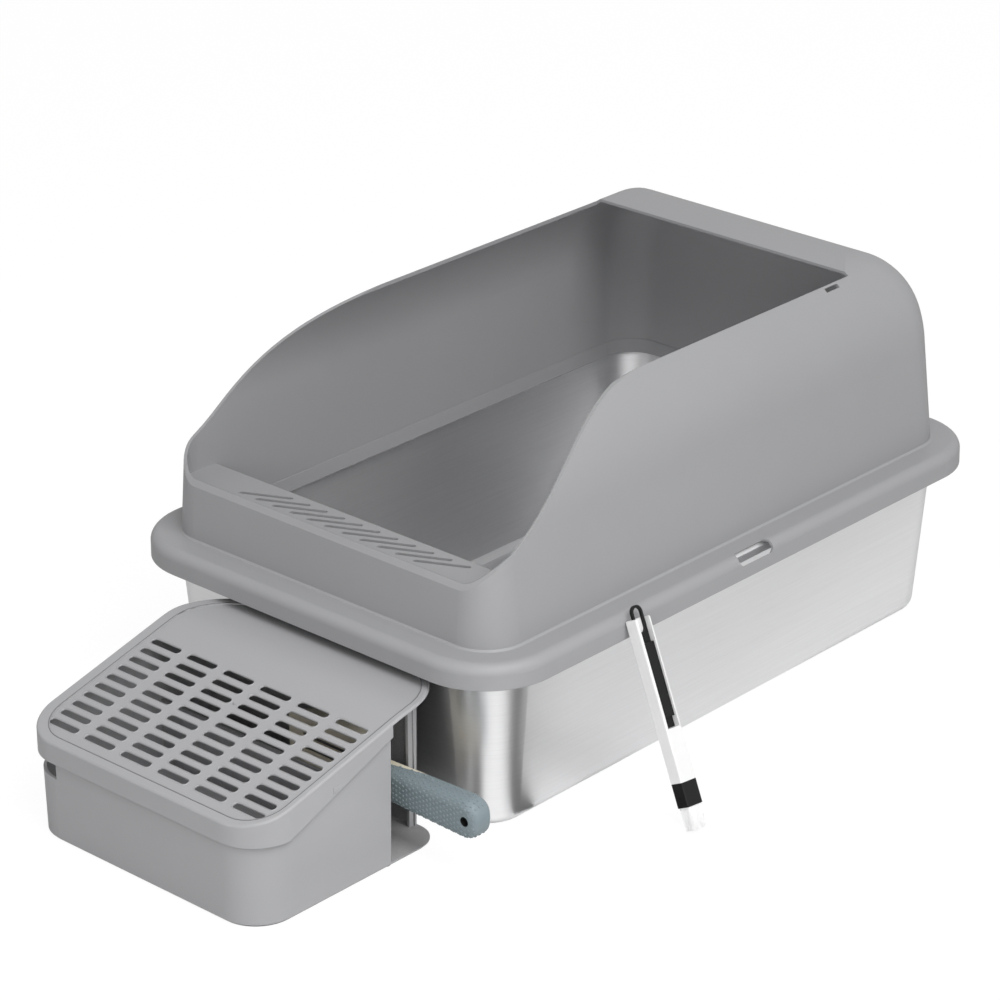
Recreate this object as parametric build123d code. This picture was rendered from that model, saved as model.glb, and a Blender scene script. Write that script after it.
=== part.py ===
from build123d import *
import math
import os

# Shared wall and seat sizes in millimetres, floor at z = 0, front at -Y, right at +X
SHEET = 1.0
PLASTIC = 2.6
SEAT = 0.3
OVERLAP = 1.0
NEAR = 0.1
REACH = 400.0
SLOT_END_SIDES = 4

# Rim cover of the enclosure, which the pan and the walls follow
RIM_WIDTH = 391.0
RIM_LENGTH = 600.0
RIM_CORNER = 60.0
RIM_LOW = 130.0
RIM_TOP = 149.5
RIM_DRAFT = 0.5
RIM_SHOULDER = 8.0
WINDOW_LENGTH = 40.0
WINDOW_INSET = 11.5
WINDOW_CORNER = 4.0

# Steel pan, hung inside the rim cover
PAN_SIDE_INSET = 32.5
PAN_END_INSET = 33.5
PAN_FLOOR_WIDTH = RIM_WIDTH - 2 * PAN_SIDE_INSET
PAN_FLOOR_LENGTH = RIM_LENGTH - 2 * PAN_END_INSET
PAN_TOP = RIM_TOP - PLASTIC - SEAT
PAN_FLOOR_CORNER = 31.0
PAN_DRAFT = 4.9
PAN_FLOOR_EDGE = 9.0
FLANGE_OUT = 11.0
FLANGE_DROP = 8.0
FLANGE_EDGE = 3.5

# Walls of the enclosure
WALL_SIDE_INSET = 24.75
WALL_END_INSET = 25.5
WALL_WIDTH = RIM_WIDTH - 2 * WALL_SIDE_INSET
WALL_LENGTH = RIM_LENGTH - 2 * WALL_END_INSET
WALL_FRONT_Y = -WALL_LENGTH / 2
WALL_CORNER = 33.0
WALL_LEAN = 3.8
CREASE = 1.5
CREASE_LEAN = 48.0
SKIRT_LOW = 137.0
SKIRT_LEAN = 2.0
SKIRT_STEP = 0.5
SIDE_ROLL_START = 237.0
LIP_INSET = 39.45
LIP_X = WALL_WIDTH / 2 - LIP_INSET
LIP_Z = 302.3
HOOD_ROLL_START = 256.0
HOOD_DEPTH = 87.0
HOOD_EDGE_Y = WALL_LENGTH / 2 - HOOD_DEPTH
HOOD_EDGE_Z = 304.7
ENCLOSURE_CEILING = 330.0
SIDE_SLOT_LENGTH = 16.0
SIDE_SLOT_WIDTH = 3.6
SIDE_SLOT_AHEAD = 24.5
SIDE_SLOT_DROP = 4.0

# Entry in the side view, from the wall's front foot: control points of two smooth curves from sill to lip
SILL_Z = 190.5
ENTRY_JOIN = (27.0, 218.0)
ENTRY_CORNER = [(1.5, SILL_Z), (7.5, 204.0), (17.5, 213.8), ENTRY_JOIN]
ENTRY_SWEEP = [ENTRY_JOIN, (72.8, 238.0), (109.5, 303.0), (224.5, 303.0)]

# Sill shelf with its drain slots
SHELF_DEPTH = 52.5
SHELF_REAR_Y = WALL_FRONT_Y + SHELF_DEPTH
SHELF_FALL = 2.0
SHELF_LIP = 9.0
DRAIN_COUNT = 11
DRAIN_PITCH = 18.4
DRAIN_LENGTH = 44.0
DRAIN_WIDTH = 4.2
DRAIN_TURN = 28.0
DRAIN_BEHIND = 34.5

# Step base, standing in front of the pan
STEP_X = 20.0
STEP_WIDTH = 240.0
STEP_LENGTH = 189.3
STEP_ROOM = 27.5
STEP_REAR_Y = -PAN_FLOOR_LENGTH / 2 - STEP_ROOM
STEP_FRONT_Y = STEP_REAR_Y - STEP_LENGTH
STEP_FRONT_CORNER = 32.0
STEP_REAR_CORNER = 22.0
STEP_DRAFT = 1.1
STEP_FLOOR = 3.0
STEP_FLOOR_EDGE = 2.0
POCKET_DEPTH = 54.0
POCKET_Y = STEP_REAR_Y - POCKET_DEPTH
POCKET_END = 26.0
POCKET_X = STEP_X + STEP_WIDTH / 2 - POCKET_END
POCKET_RETURN = 7.5
POCKET_RIB = 1.2
POCKET_RIB_WIDTH = 3.0
NOTCH_WIDTH = 34.0
NOTCH_DEPTH = 24.3
NOTCH_LOW = 52.0
DIVIDER_TOP = 55.0

# Step cover
COVER_GAP = 0.3
COVER_WALL = 2.0
RAMP_FRONT_Z = 82.5
LANDING_DEPTH = 36.0
LANDING_Z = 123.0
BEND_RADIUS = 95.0
COVER_REAR_CORNER = 60.0
COVER_SHOULDER = 2.0
COVER_BORDER = 8.0
COVER_RECESS = 1.0
FIELD_SHIFT = 2.5
COVER_SKIRT_Z = 66.0
COVER_SKIRT_TURN = 30.3
COVER_SKIRT_REAR_Z = 107.0
SLOT_COLUMNS = 6
SLOT_ROWS = 10
SLOT_MARGIN = 8.35
SLOT_BRIDGE = 8.3
SLOT_PITCH_X = (STEP_WIDTH - 2 * SLOT_MARGIN + SLOT_BRIDGE) / SLOT_COLUMNS
SLOT_PITCH_Y = 11.45
SLOT_LENGTH = SLOT_PITCH_X - SLOT_BRIDGE
SLOT_WIDTH = 6.2
SLOT_MIDDLE = 67.5

# Scoop, stored on edge along X behind the divider
SCOOP_BEHIND = 25.0
SCOOP_Y = STEP_REAR_Y - SCOOP_BEHIND
SCOOP_Z = 49.0
BLADE_SETBACK = 8.0
BLADE_RIGHT_X = POCKET_X - BLADE_SETBACK
BLADE_LENGTH = 72.0
BLADE_LEFT_X = BLADE_RIGHT_X - BLADE_LENGTH
BLADE_HEIGHT = 2 * (SCOOP_Z - STEP_FLOOR - SEAT)
BLADE_SHOULDER = 40.0
BLADE_NOSE = 76.0
BLADE_DEPTH = 31.0
BLADE_CLEAR = 4.0
BLADE_CORNER = 16.0
BLADE_WALL = 2.2
BLADE_LIP = 6.6
BLADE_SLOTS = 6
BLADE_SLOT_LENGTH = 46.0
BLADE_SLOT_WIDTH = 4.0
BLADE_SLOT_PITCH = 10.0
GRIP_LENGTH = 102.0
GRIP_END_X = BLADE_RIGHT_X + GRIP_LENGTH
GRIP_ROOT = 15.0
GRIP_NECK = 25.0
GRIP_HEIGHT = 32.0
GRIP_SLANT = 4.0
GRIP_NOSE = 14.0
GRIP_DEPTH = 20.0
GRIP_EDGE = 7.5
SPINE_DEPTH = 11.0
SPINE_SHORT = 34.0
HANG_HOLE_INSET = 13.0
HANG_HOLE = 7.5

# Brush, leaning on the rim with its tips on the floor
BRUSH_STAND = 77.7
BRUSH_TIP = (RIM_WIDTH / 2 + BRUSH_STAND, -162.0, 2.7)
BRUSH_AXIS = (-0.448, 0.095, 0.889)
BRUSH_FACE = (0.893, 0.0, 0.45)
BRUSH_WIDTH = 16.0
BRUSH_THICK = 11.7
BRISTLE_LENGTH = 18.5
FERRULE_LENGTH = 18.5
BODY_LENGTH = 124.5
BODY_EDGE = 1.2
CHANNEL_LENGTH = 84.0
CHANNEL_WIDTH = 12.0
CHANNEL_DEPTH = 7.0
INSERT_GAP = 0.3
INSERT_THICK = 5.0
INSERT_STRIP = 2.2
INSERT_RECESS = 8.0
RING_RISE = 10.0
RING_WALL = 1.9
RING_HOLE_LENGTH = 19.0
FERRULE_WALL = 0.9
STRAND = 0.5
STRAND_PITCH = 0.77
STRAND_COLUMNS = 18
STRAND_ROWS = 12
STRAND_SLICE = 2.0


def slab(outline, low, height, draft=0.0):
    """Extrude a flat outline upwards from a height, leaning inwards by the draft."""
    return extrude(Pos(0, 0, low) * outline, amount=height, taper=draft)


def rounded(width, length, corner):
    """Rounded rectangle about the origin."""
    return RectangleRounded(width, length, corner)


def block(x, y, z):
    """Box between two corners, each axis given as a low and a high value."""
    size = Box(x[1] - x[0], y[1] - y[0], z[1] - z[0], align=(Align.MIN, Align.MIN, Align.MIN))
    return Pos(x[0], y[0], z[0]) * size


def edges_at(part, height):
    """Edges lying wholly at one height."""
    return part.edges().filter_by(lambda e: abs(e.bounding_box().min.Z - height) < NEAR
                                  and abs(e.bounding_box().max.Z - height) < NEAR)


def ease(edges, radius):
    """Chamfer that touches a fillet of this radius in its middle, for edges out of sight."""
    return chamfer(edges, radius * (2 - math.sqrt(2)))


def slot_outline(length, width):
    """Long slot about the origin, each round end drawn as a few flats."""
    reach = (length - width) / 2
    turns = [math.pi * (i / SLOT_END_SIDES - 1 / 2) for i in range(SLOT_END_SIDES + 1)]
    right = [(reach + width / 2 * math.cos(t), width / 2 * math.sin(t)) for t in turns]
    left = [(-x, -y) for x, y in right]
    return make_face(Polyline(*right, *left, right[0]))


def pan_form(inset):
    """Drawn tub, drafted outwards, drawn in by the inset."""
    outline = rounded(PAN_FLOOR_WIDTH - 2 * inset, PAN_FLOOR_LENGTH - 2 * inset, PAN_FLOOR_CORNER - inset)
    return slab(outline, inset, PAN_TOP - inset, -PAN_DRAFT)


def flange_form(inset):
    """Solid under the flange's skin, flat on top, eased over and turned down at its edge."""
    spread = 2 * (PAN_TOP * math.tan(math.radians(PAN_DRAFT)) + FLANGE_OUT - inset)
    corner = PAN_FLOOR_CORNER + spread / 2
    outline = rounded(PAN_FLOOR_WIDTH + spread, PAN_FLOOR_LENGTH + spread, corner)
    form = slab(outline, PAN_TOP - FLANGE_DROP, FLANGE_DROP - inset)
    return ease(edges_at(form, PAN_TOP - inset), FLANGE_EDGE - inset)


def make_pan():
    """Steel pan: thin tub with a rounded floor edge, and a flange turned down all round."""
    skin = pan_form(0)
    skin = fillet(edges_at(skin, 0), PAN_FLOOR_EDGE)
    core = pan_form(SHEET)
    core = ease(edges_at(core, SHEET), PAN_FLOOR_EDGE - SHEET)
    return flange_form(0) - flange_form(SHEET) + skin - core


def side_roll():
    """Centre, radius and end angle of the side walls' inward roll in the XZ plane."""
    lean = math.radians(WALL_LEAN)
    start_x = WALL_WIDTH / 2 - (SIDE_ROLL_START - RIM_TOP) * math.tan(lean)
    return tangent_roll(start_x, SIDE_ROLL_START, LIP_X, LIP_Z, lean)


def hood_roll():
    """Centre, radius and end angle of the hood's roll in the YZ plane."""
    lean = math.radians(WALL_LEAN)
    start_y = WALL_LENGTH / 2 - (HOOD_ROLL_START - RIM_TOP) * math.tan(lean)
    return tangent_roll(start_y, HOOD_ROLL_START, HOOD_EDGE_Y, HOOD_EDGE_Z, lean)


def tangent_roll(start, start_z, end, end_z, lean):
    """Arc that leaves a leaning wall smoothly and ends at a point."""
    chord = math.hypot(end - start, end_z - start_z)
    turn = math.atan2(start - end, end_z - start_z) - lean
    radius = chord / (2 * math.sin(turn))
    centre = (start - radius * math.cos(lean), start_z - radius * math.sin(lean))
    return centre, radius, lean + 2 * turn


def roll_points(roll, inset, end):
    """Start, middle and end of a roll drawn in by the inset, up to an end angle."""
    centre, radius = roll[:2]
    lean = math.radians(WALL_LEAN)
    angles = (lean, (lean + end) / 2, end)
    reach = radius - inset
    return [(centre[0] + reach * math.cos(a), centre[1] + reach * math.sin(a)) for a in angles]


def side_profile(inset):
    """Front view of the walls: leaning sides that roll inwards, open at the top."""
    roll = side_roll()
    start, middle, end = roll_points(roll, inset, roll[2])
    rise = (ENCLOSURE_CEILING - end[1]) / math.cos(roll[2])
    peak = (end[0] - rise * math.sin(roll[2]), ENCLOSURE_CEILING)
    foot_x = start[0] + (start[1] - SKIRT_LOW) * math.tan(math.radians(WALL_LEAN))
    foot = (foot_x, SKIRT_LOW)
    half = Polyline((0, SKIRT_LOW), foot, start)
    half += ThreePointArc(start, middle, end)
    half += Polyline(end, peak, (0, ENCLOSURE_CEILING), (0, SKIRT_LOW))
    face = make_face(half)
    return face + mirror(face, about=Plane.YZ)


def hood_profile(inset, end_angle):
    """Side view of the walls: leaning back that rolls over into the hood, level from the end angle on."""
    start, middle, end = roll_points(hood_roll(), inset, end_angle)
    foot_y = start[0] + (start[1] - SKIRT_LOW) * math.tan(math.radians(WALL_LEAN))
    outline = Polyline((-REACH, SKIRT_LOW), (foot_y, SKIRT_LOW), start)
    outline += ThreePointArc(start, middle, end)
    outline += Polyline(end, (-REACH, end[1]), (-REACH, SKIRT_LOW))
    return make_face(outline)


def hood_form(inset, end_angle):
    """Solid below the hood's side view, across the whole width."""
    return extrude(Plane.YZ * hood_profile(inset, end_angle), amount=REACH, both=True)


def rear_form(inset):
    """Rear half of the walls' solid, its corners rounded all the way up and over into the hood."""
    across = extrude(Plane.XZ * side_profile(inset), amount=-REACH)
    form = across & hood_form(inset, math.pi / 2) & block((-REACH, REACH), (0, REACH), (RIM_TOP, REACH))
    rear = form.edges().filter_by(lambda e: e.center().Y > HOOD_EDGE_Y / 2)
    corners = rear.filter_by(lambda e: e.bounding_box().size.Z > OVERLAP)
    form = fillet(corners, WALL_CORNER - inset)
    return form & hood_form(inset, hood_roll()[2])


def front_form(inset):
    """Front half of the walls' solid."""
    outline = rounded(WALL_WIDTH - 2 * inset, WALL_LENGTH - 2 * inset, WALL_CORNER - inset)
    tower = slab(outline, RIM_TOP, HOOD_EDGE_Z - RIM_TOP, WALL_LEAN)
    return tower & extrude(Plane.XZ * side_profile(inset), amount=REACH)


def wall_form(inset):
    """Solid inside the enclosure's wall skin, drawn in by the inset."""
    return rear_form(inset) + front_form(inset)


def entry_cut():
    """Everything above the entry's S-curve, and everything inside the lips."""
    last = ENTRY_SWEEP[-1]
    line = Polyline((-REACH, SILL_Z), ENTRY_CORNER[0])
    line += Bezier(*ENTRY_CORNER)
    line += Bezier(*ENTRY_SWEEP)
    line += Polyline(last, (last[0], REACH), (-REACH, REACH), (-REACH, SILL_Z))
    front = extrude(Plane.YZ * Pos(WALL_FRONT_Y, 0) * make_face(line), amount=REACH, both=True)
    return front + block((-LIP_X, LIP_X), (-REACH, HOOD_EDGE_Y), (SIDE_ROLL_START, REACH))


def rim_form(inset):
    """Solid under the rim cover's skin, its shoulder still sharp."""
    outline = rounded(RIM_WIDTH - 2 * inset, RIM_LENGTH - 2 * inset, RIM_CORNER - inset)
    return slab(outline, RIM_LOW, RIM_TOP - inset - RIM_LOW, RIM_DRAFT)


def rim_shell():
    """Rim cover: rounded shoulder outside, eased inside, with a window in each side."""
    skin = rim_form(0)
    skin = fillet(edges_at(skin, RIM_TOP), RIM_SHOULDER)
    core = rim_form(PLASTIC)
    core = ease(edges_at(core, RIM_TOP - PLASTIC), RIM_SHOULDER - PLASTIC)
    return skin - core - rim_window(1) - rim_window(-1)


def crease():
    """Small slanted bead where the walls meet the rim cover."""
    outline = rounded(WALL_WIDTH + 2 * CREASE, WALL_LENGTH + 2 * CREASE, WALL_CORNER + CREASE)
    return slab(outline, RIM_TOP, CREASE, CREASE_LEAN)


def skirt_form(inset):
    """Solid inside the skirt that hangs into the pan."""
    drop = RIM_TOP - SKIRT_LOW
    lean = drop * math.tan(math.radians(SKIRT_LEAN))
    corner = WALL_CORNER - lean - inset
    outline = rounded(WALL_WIDTH - 2 * (lean + inset), WALL_LENGTH - 2 * (lean + inset), corner)
    return slab(outline, SKIRT_LOW, drop, -SKIRT_LEAN)


def shelf():
    """Sill shelf behind the front wall, with a turned-down rear lip and slanted drain slots."""
    half = WALL_WIDTH / 2 - PLASTIC - (SILL_Z - RIM_TOP) * math.tan(math.radians(WALL_LEAN)) + OVERLAP
    front_y = -(WALL_LENGTH / 2 - WALL_WIDTH / 2 + half)
    outline = rounded(2 * half, -2 * front_y, WALL_CORNER - PLASTIC)
    plan = slab(outline, RIM_TOP, SILL_Z - RIM_TOP)
    low = SILL_Z - PLASTIC
    side = [(front_y, low), (front_y, SILL_Z), (SHELF_REAR_Y, SILL_Z - SHELF_FALL)]
    side += [(SHELF_REAR_Y, low - SHELF_LIP), (SHELF_REAR_Y - PLASTIC, low - SHELF_LIP)]
    side += [(SHELF_REAR_Y - PLASTIC, low - SHELF_FALL), (front_y, low)]
    ledge = extrude(Plane.YZ * make_face(Polyline(*side)), amount=REACH, both=True)
    return (ledge & plan) - drain_slots()


def drain_slots():
    """Row of slanted slots through the shelf."""
    slot = Rot(0, 0, DRAIN_TURN) * slot_outline(DRAIN_LENGTH, DRAIN_WIDTH)
    spots = GridLocations(DRAIN_PITCH, DRAIN_PITCH, DRAIN_COUNT, 1)
    row = Pos(0, WALL_FRONT_Y + DRAIN_BEHIND, RIM_TOP) * spots
    return [extrude(spot * slot, amount=REACH) for spot in row]


def side_slot(side):
    """Small slot through the rolled wall beside the hood's corner."""
    centre, radius, end = side_roll()
    turn = end - SIDE_SLOT_DROP / radius
    along = HOOD_EDGE_Y - SIDE_SLOT_AHEAD
    spot = (centre[0] + radius * math.cos(turn), along, centre[1] + radius * math.sin(turn))
    out = (math.cos(turn), 0, math.sin(turn))
    if side < 0:
        spot = (-spot[0], spot[1], spot[2])
        out = (-out[0], out[1], out[2])
    plane = Plane(origin=spot, x_dir=(0, 1, 0), z_dir=out)
    return extrude(plane * Rectangle(SIDE_SLOT_LENGTH, SIDE_SLOT_WIDTH), amount=2 * PLASTIC, both=True)


def rim_window(side):
    """Rounded window over the rim's shoulder, in the middle of one side."""
    plane = Plane(origin=(side * RIM_WIDTH / 2, 0, RIM_TOP), x_dir=(0, 1, 0), z_dir=(side, 0, 1))
    outline = rounded(WINDOW_LENGTH, WINDOW_INSET, WINDOW_CORNER)
    return extrude(plane * outline, amount=RIM_CORNER, both=True)


def make_enclosure():
    """Rim cover, walls, hood, skirt and sill shelf as one moulding."""
    hollow = wall_form(PLASTIC) + skirt_form(PLASTIC + SKIRT_STEP)
    walls = wall_form(0) - entry_cut() - side_slot(1) - side_slot(-1)
    return rim_shell() + crease() + walls + skirt_form(0) - hollow + shelf()


def step_plan(half, front, rear, front_corner, rear_corner):
    """Plan of a step piece, with its own corner radius in front and behind."""
    face = Pos(STEP_X, (front + rear) / 2) * Rectangle(2 * half, rear - front)
    face = fillet(face.vertices().group_by(Axis.Y)[0], front_corner)
    return fillet(face.vertices().group_by(Axis.Y)[-1], rear_corner)


def step_tub(inset):
    """Drafted solid of the step base, drawn in by the inset."""
    plan = step_plan(STEP_WIDTH / 2 - inset, STEP_FRONT_Y + inset, STEP_REAR_Y - inset,
                     STEP_FRONT_CORNER - inset, STEP_REAR_CORNER - inset)
    return slab(plan, 0, LANDING_Z, -STEP_DRAFT)


def step_flare(height):
    """How far the step base has spread outwards at a height."""
    return height * math.tan(math.radians(STEP_DRAFT))


COVER_REAR_Y = -PAN_FLOOR_LENGTH / 2 - LANDING_Z * math.tan(math.radians(PAN_DRAFT)) - SEAT
COVER_FRONT_Y = STEP_FRONT_Y - step_flare(RAMP_FRONT_Z) - COVER_GAP - COVER_WALL
COVER_HALF = STEP_WIDTH / 2 + step_flare(LANDING_Z) + COVER_GAP + COVER_WALL
COVER_CORNER = STEP_FRONT_CORNER + step_flare(RAMP_FRONT_Z) + COVER_GAP + COVER_WALL


def ramp_form(drop):
    """Everything below the ramp and landing, lowered by the drop."""
    bend_y = STEP_REAR_Y - LANDING_DEPTH
    slope = (LANDING_Z - RAMP_FRONT_Z) / (bend_y - COVER_FRONT_Y)
    start_y = bend_y - REACH
    top = LANDING_Z - drop
    outline = Polyline((start_y, top - slope * REACH), (bend_y, top), (0, top), (0, -REACH),
                       (start_y, -REACH), (start_y, top - slope * REACH))
    face = make_face(outline)
    bend = face.vertices().sort_by_distance((bend_y, top, 0))[0]
    face = fillet([bend], BEND_RADIUS - drop)
    return extrude(Plane.YZ * face, amount=REACH, both=True)


def pocket_strip():
    """Upright strip at the end of the back wall, with a rib down its rear half."""
    rear = step_tub(PLASTIC / 2)
    low_y = STEP_REAR_Y - POCKET_RETURN
    rib_y = STEP_REAR_Y - POCKET_RIB_WIDTH
    strip = rear & block((POCKET_X - PLASTIC, POCKET_X), (low_y, 0), (0, LANDING_Z))
    return strip + (rear & block((POCKET_X - PLASTIC, POCKET_X + POCKET_RIB), (rib_y, 0), (0, LANDING_Z)))


def make_step_base():
    """Litter-catching base: tub with a finger notch, a low divider and a scoop pocket open at the right."""
    tub = step_tub(0)
    tub = chamfer(edges_at(tub, 0), STEP_FLOOR_EDGE) - Pos(0, 0, STEP_FLOOR) * step_tub(PLASTIC)
    tub -= block((POCKET_X, REACH), (POCKET_Y, 0), (STEP_FLOOR, REACH))
    notch_x = STEP_X - STEP_WIDTH / 2 + NOTCH_WIDTH
    notch_y = STEP_FRONT_Y + NOTCH_DEPTH
    tub -= block((-REACH, notch_x), (-2 * REACH, notch_y), (NOTCH_LOW, COVER_SKIRT_Z))
    divider = block((-REACH, REACH), (POCKET_Y - PLASTIC, POCKET_Y), (0, DIVIDER_TOP)) & step_tub(PLASTIC / 2)
    return (tub + divider + pocket_strip()) & ramp_form(COVER_WALL + SEAT)


def cover_plan(inset):
    """Plan of the cover drawn in by the inset."""
    rear = COVER_REAR_Y + COVER_WALL + OVERLAP - inset
    return step_plan(COVER_HALF - inset, COVER_FRONT_Y + inset, rear,
                     COVER_CORNER - inset, COVER_REAR_CORNER - inset)


def cover_form(inset):
    """Solid under the cover's skin."""
    return slab(cover_plan(inset), 0, REACH) & ramp_form(inset)


def round_top_edge(form, radius):
    """Round the edge between the form's upward faces and its sides."""
    tops = form.faces().filter_by(lambda f: f.normal_at(f.center()).Z > NEAR)
    sides = form.faces().filter_by(lambda f: abs(f.normal_at(f.center()).Z) < NEAR)
    rim = [e for e in tops.edges() if any(e.is_same(other) for other in sides.edges())]
    return fillet(rim, radius)


def field_plan():
    """Plan of the sunk field inside the cover's border."""
    return Pos(FIELD_SHIFT, 0) * cover_plan(COVER_BORDER)


def cover_slots():
    """Grid of long slots through the ramp, cut off where they reach the border."""
    middle = Pos(STEP_X + FIELD_SHIFT, STEP_FRONT_Y + SLOT_MIDDLE)
    slot = slot_outline(SLOT_LENGTH, SLOT_WIDTH)
    spots = GridLocations(SLOT_PITCH_X, SLOT_PITCH_Y, SLOT_COLUMNS, SLOT_ROWS)
    return [slab(field_plan() & (middle * spot * slot), 0, REACH) for spot in spots]


def under_skirt():
    """Everything below the cover's skirt, which rises with the ramp towards the pocket."""
    turn_y = STEP_FRONT_Y + COVER_SKIRT_TURN
    outline = Polyline((-2 * REACH, 0), (-2 * REACH, COVER_SKIRT_Z), (turn_y, COVER_SKIRT_Z),
                       (POCKET_Y, COVER_SKIRT_REAR_Z), (0, COVER_SKIRT_REAR_Z), (0, 0), (-2 * REACH, 0))
    return extrude(Plane.YZ * make_face(outline), amount=REACH, both=True)


def under_landing():
    """Room below the landing, where the skirt stops short of the pocket and of the rear corners."""
    pocket = block((POCKET_X, REACH), (POCKET_Y, 0), (0, LANDING_Z))
    rear = block((-REACH, REACH), (COVER_REAR_Y - COVER_REAR_CORNER, 0), (0, LANDING_Z))
    return (pocket + rear) & ramp_form(COVER_WALL)


def make_step_cover():
    """Slotted ramp and landing with a raised border and a skirt in front and at both sides."""
    cover = round_top_edge(cover_form(0), COVER_SHOULDER) - cover_form(COVER_WALL)
    cover = cover - under_skirt() - under_landing()
    cover -= block((-REACH, REACH), (COVER_REAR_Y, 0), (0, REACH))
    cover -= slab(field_plan(), 0, REACH) - ramp_form(COVER_RECESS)
    return cover - cover_slots()


def blade_outline(inset, nose):
    """Scoop blade seen from the front: wide behind, narrower at the nose."""
    tall = BLADE_HEIGHT / 2 - inset
    slim = BLADE_NOSE / 2 - inset
    right = BLADE_RIGHT_X - inset
    left = BLADE_LEFT_X - nose
    turn = BLADE_RIGHT_X - BLADE_SHOULDER
    face = make_face(Polyline((left, -slim), (turn, -tall), (right, -tall), (right, tall),
                              (turn, tall), (left, slim), (left, -slim)))
    return fillet(face.vertices().group_by(Axis.X)[-1], BLADE_CORNER - inset)


def scoop_plane(y):
    """Upright plane facing the front, at a depth, centred on the scoop's axis."""
    return Plane(origin=(0, y, SCOOP_Z), x_dir=(1, 0, 0), z_dir=(0, -1, 0))


def handle_outline():
    """Handle seen from the front, flaring to a round end."""
    start = BLADE_RIGHT_X - GRIP_ROOT
    slim = GRIP_NECK / 2
    broad = GRIP_HEIGHT / 2
    face = make_face(Polyline((start, -slim), (GRIP_END_X - GRIP_SLANT, -broad), (GRIP_END_X, broad),
                              (start, slim), (start, -slim)))
    return fillet(face.vertices().group_by(Axis.X)[1:], GRIP_NOSE)


def handle():
    """Whole handle, rounded in front and eased behind, with its hang hole."""
    bar = extrude(scoop_plane(SCOOP_Y + GRIP_DEPTH / 2) * handle_outline(), amount=GRIP_DEPTH)
    bar = fillet(bar.faces().sort_by(Axis.Y)[0].edges(), GRIP_EDGE)
    bar = ease(bar.faces().sort_by(Axis.Y)[-1].edges(), GRIP_EDGE)
    hole = scoop_plane(SCOOP_Y) * Pos(GRIP_END_X - HANG_HOLE_INSET, 0) * Circle(HANG_HOLE / 2)
    return bar - extrude(hole, amount=REACH, both=True)


def spine_wedge():
    """Rear part of the handle that is moulded with the blade and thins out towards the end."""
    back = SCOOP_Y + GRIP_DEPTH / 2
    root = BLADE_RIGHT_X - BLADE_WALL
    tip = (GRIP_END_X - SPINE_SHORT, back)
    outline = Polyline((root, back), tip, (root, back - SPINE_DEPTH), (root, back))
    return extrude(make_face(outline), amount=REACH)


def make_scoop_blade():
    """Slotted blade with raised sides, open at its nose and behind, and the spine of the handle."""
    front = POCKET_Y + BLADE_CLEAR
    back = front + BLADE_DEPTH
    tray = extrude(scoop_plane(back) * blade_outline(0, 0), amount=BLADE_DEPTH)
    hollow = scoop_plane(back) * blade_outline(BLADE_WALL, BLADE_WALL)
    tray -= extrude(hollow, amount=BLADE_DEPTH - BLADE_WALL)
    nose = BLADE_LEFT_X - OVERLAP
    low = (nose, front + BLADE_LIP)
    slope = Polyline(low, (BLADE_RIGHT_X - BLADE_CORNER, back), (nose, back), low)
    tray -= extrude(make_face(slope), amount=REACH)
    slot = Pos((BLADE_LEFT_X + BLADE_RIGHT_X) / 2, 0) * slot_outline(BLADE_SLOT_LENGTH, BLADE_SLOT_WIDTH)
    for spot in GridLocations(BLADE_SLOT_PITCH, BLADE_SLOT_PITCH, 1, BLADE_SLOTS):
        tray -= extrude(scoop_plane(front) * spot * slot, amount=BLADE_WALL + OVERLAP, both=True)
    return tray + (handle() & spine_wedge())


def make_scoop_grip():
    """Soft grip around the rest of the handle."""
    return handle() - spine_wedge() - block((0, BLADE_RIGHT_X + SEAT), (-2 * REACH, 0), (0, REACH))


BRUSH = Plane(origin=BRUSH_TIP, x_dir=BRUSH_FACE, z_dir=BRUSH_AXIS)


def stick(thick, width, low, high):
    """Bar along the brush's axis, between two distances from its tips."""
    return Pos(0, 0, (low + high) / 2) * Box(thick, width, high - low)


def make_brush_body():
    """Brush body with a channel open to the outward face and the top."""
    low = BRISTLE_LENGTH + FERRULE_LENGTH
    top = low + BODY_LENGTH
    body = stick(BRUSH_THICK, BRUSH_WIDTH, low, top)
    body = fillet(body.edges().filter_by(Axis.Z), BODY_EDGE)
    body = fillet(body.edges().group_by(Axis.Z)[-1], BODY_EDGE)
    cut = stick(2 * CHANNEL_DEPTH, CHANNEL_WIDTH, top - CHANNEL_LENGTH, top + CHANNEL_LENGTH)
    return BRUSH * (body - Pos(BRUSH_THICK / 2, 0, 0) * cut)


def make_brush_ferrule():
    """Collar with a shallow socket for the bristles' backing."""
    low = BRISTLE_LENGTH
    collar = stick(BRUSH_THICK, BRUSH_WIDTH, low, low + FERRULE_LENGTH)
    collar = fillet(collar.edges().filter_by(Axis.Z), BODY_EDGE)
    wall = 2 * FERRULE_WALL
    bore = stick(BRUSH_THICK - wall, BRUSH_WIDTH - wall, low - STRAND_SLICE, low + STRAND_SLICE)
    return BRUSH * (collar - bore)


def make_brush_bristles():
    """Close rows of straight strands on a thin backing."""
    wall = 2 * (FERRULE_WALL + SEAT)
    backing = stick(BRUSH_THICK - wall, BRUSH_WIDTH - wall, BRISTLE_LENGTH + STRAND_SLICE / 2,
                    BRISTLE_LENGTH + STRAND_SLICE)
    strand = stick(STRAND, STRAND, 0, BRISTLE_LENGTH + STRAND_SLICE - SEAT)
    spots = GridLocations(STRAND_PITCH, STRAND_PITCH, STRAND_ROWS, STRAND_COLUMNS)
    return BRUSH * backing.fuse(*[spot * strand for spot in spots])


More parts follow.
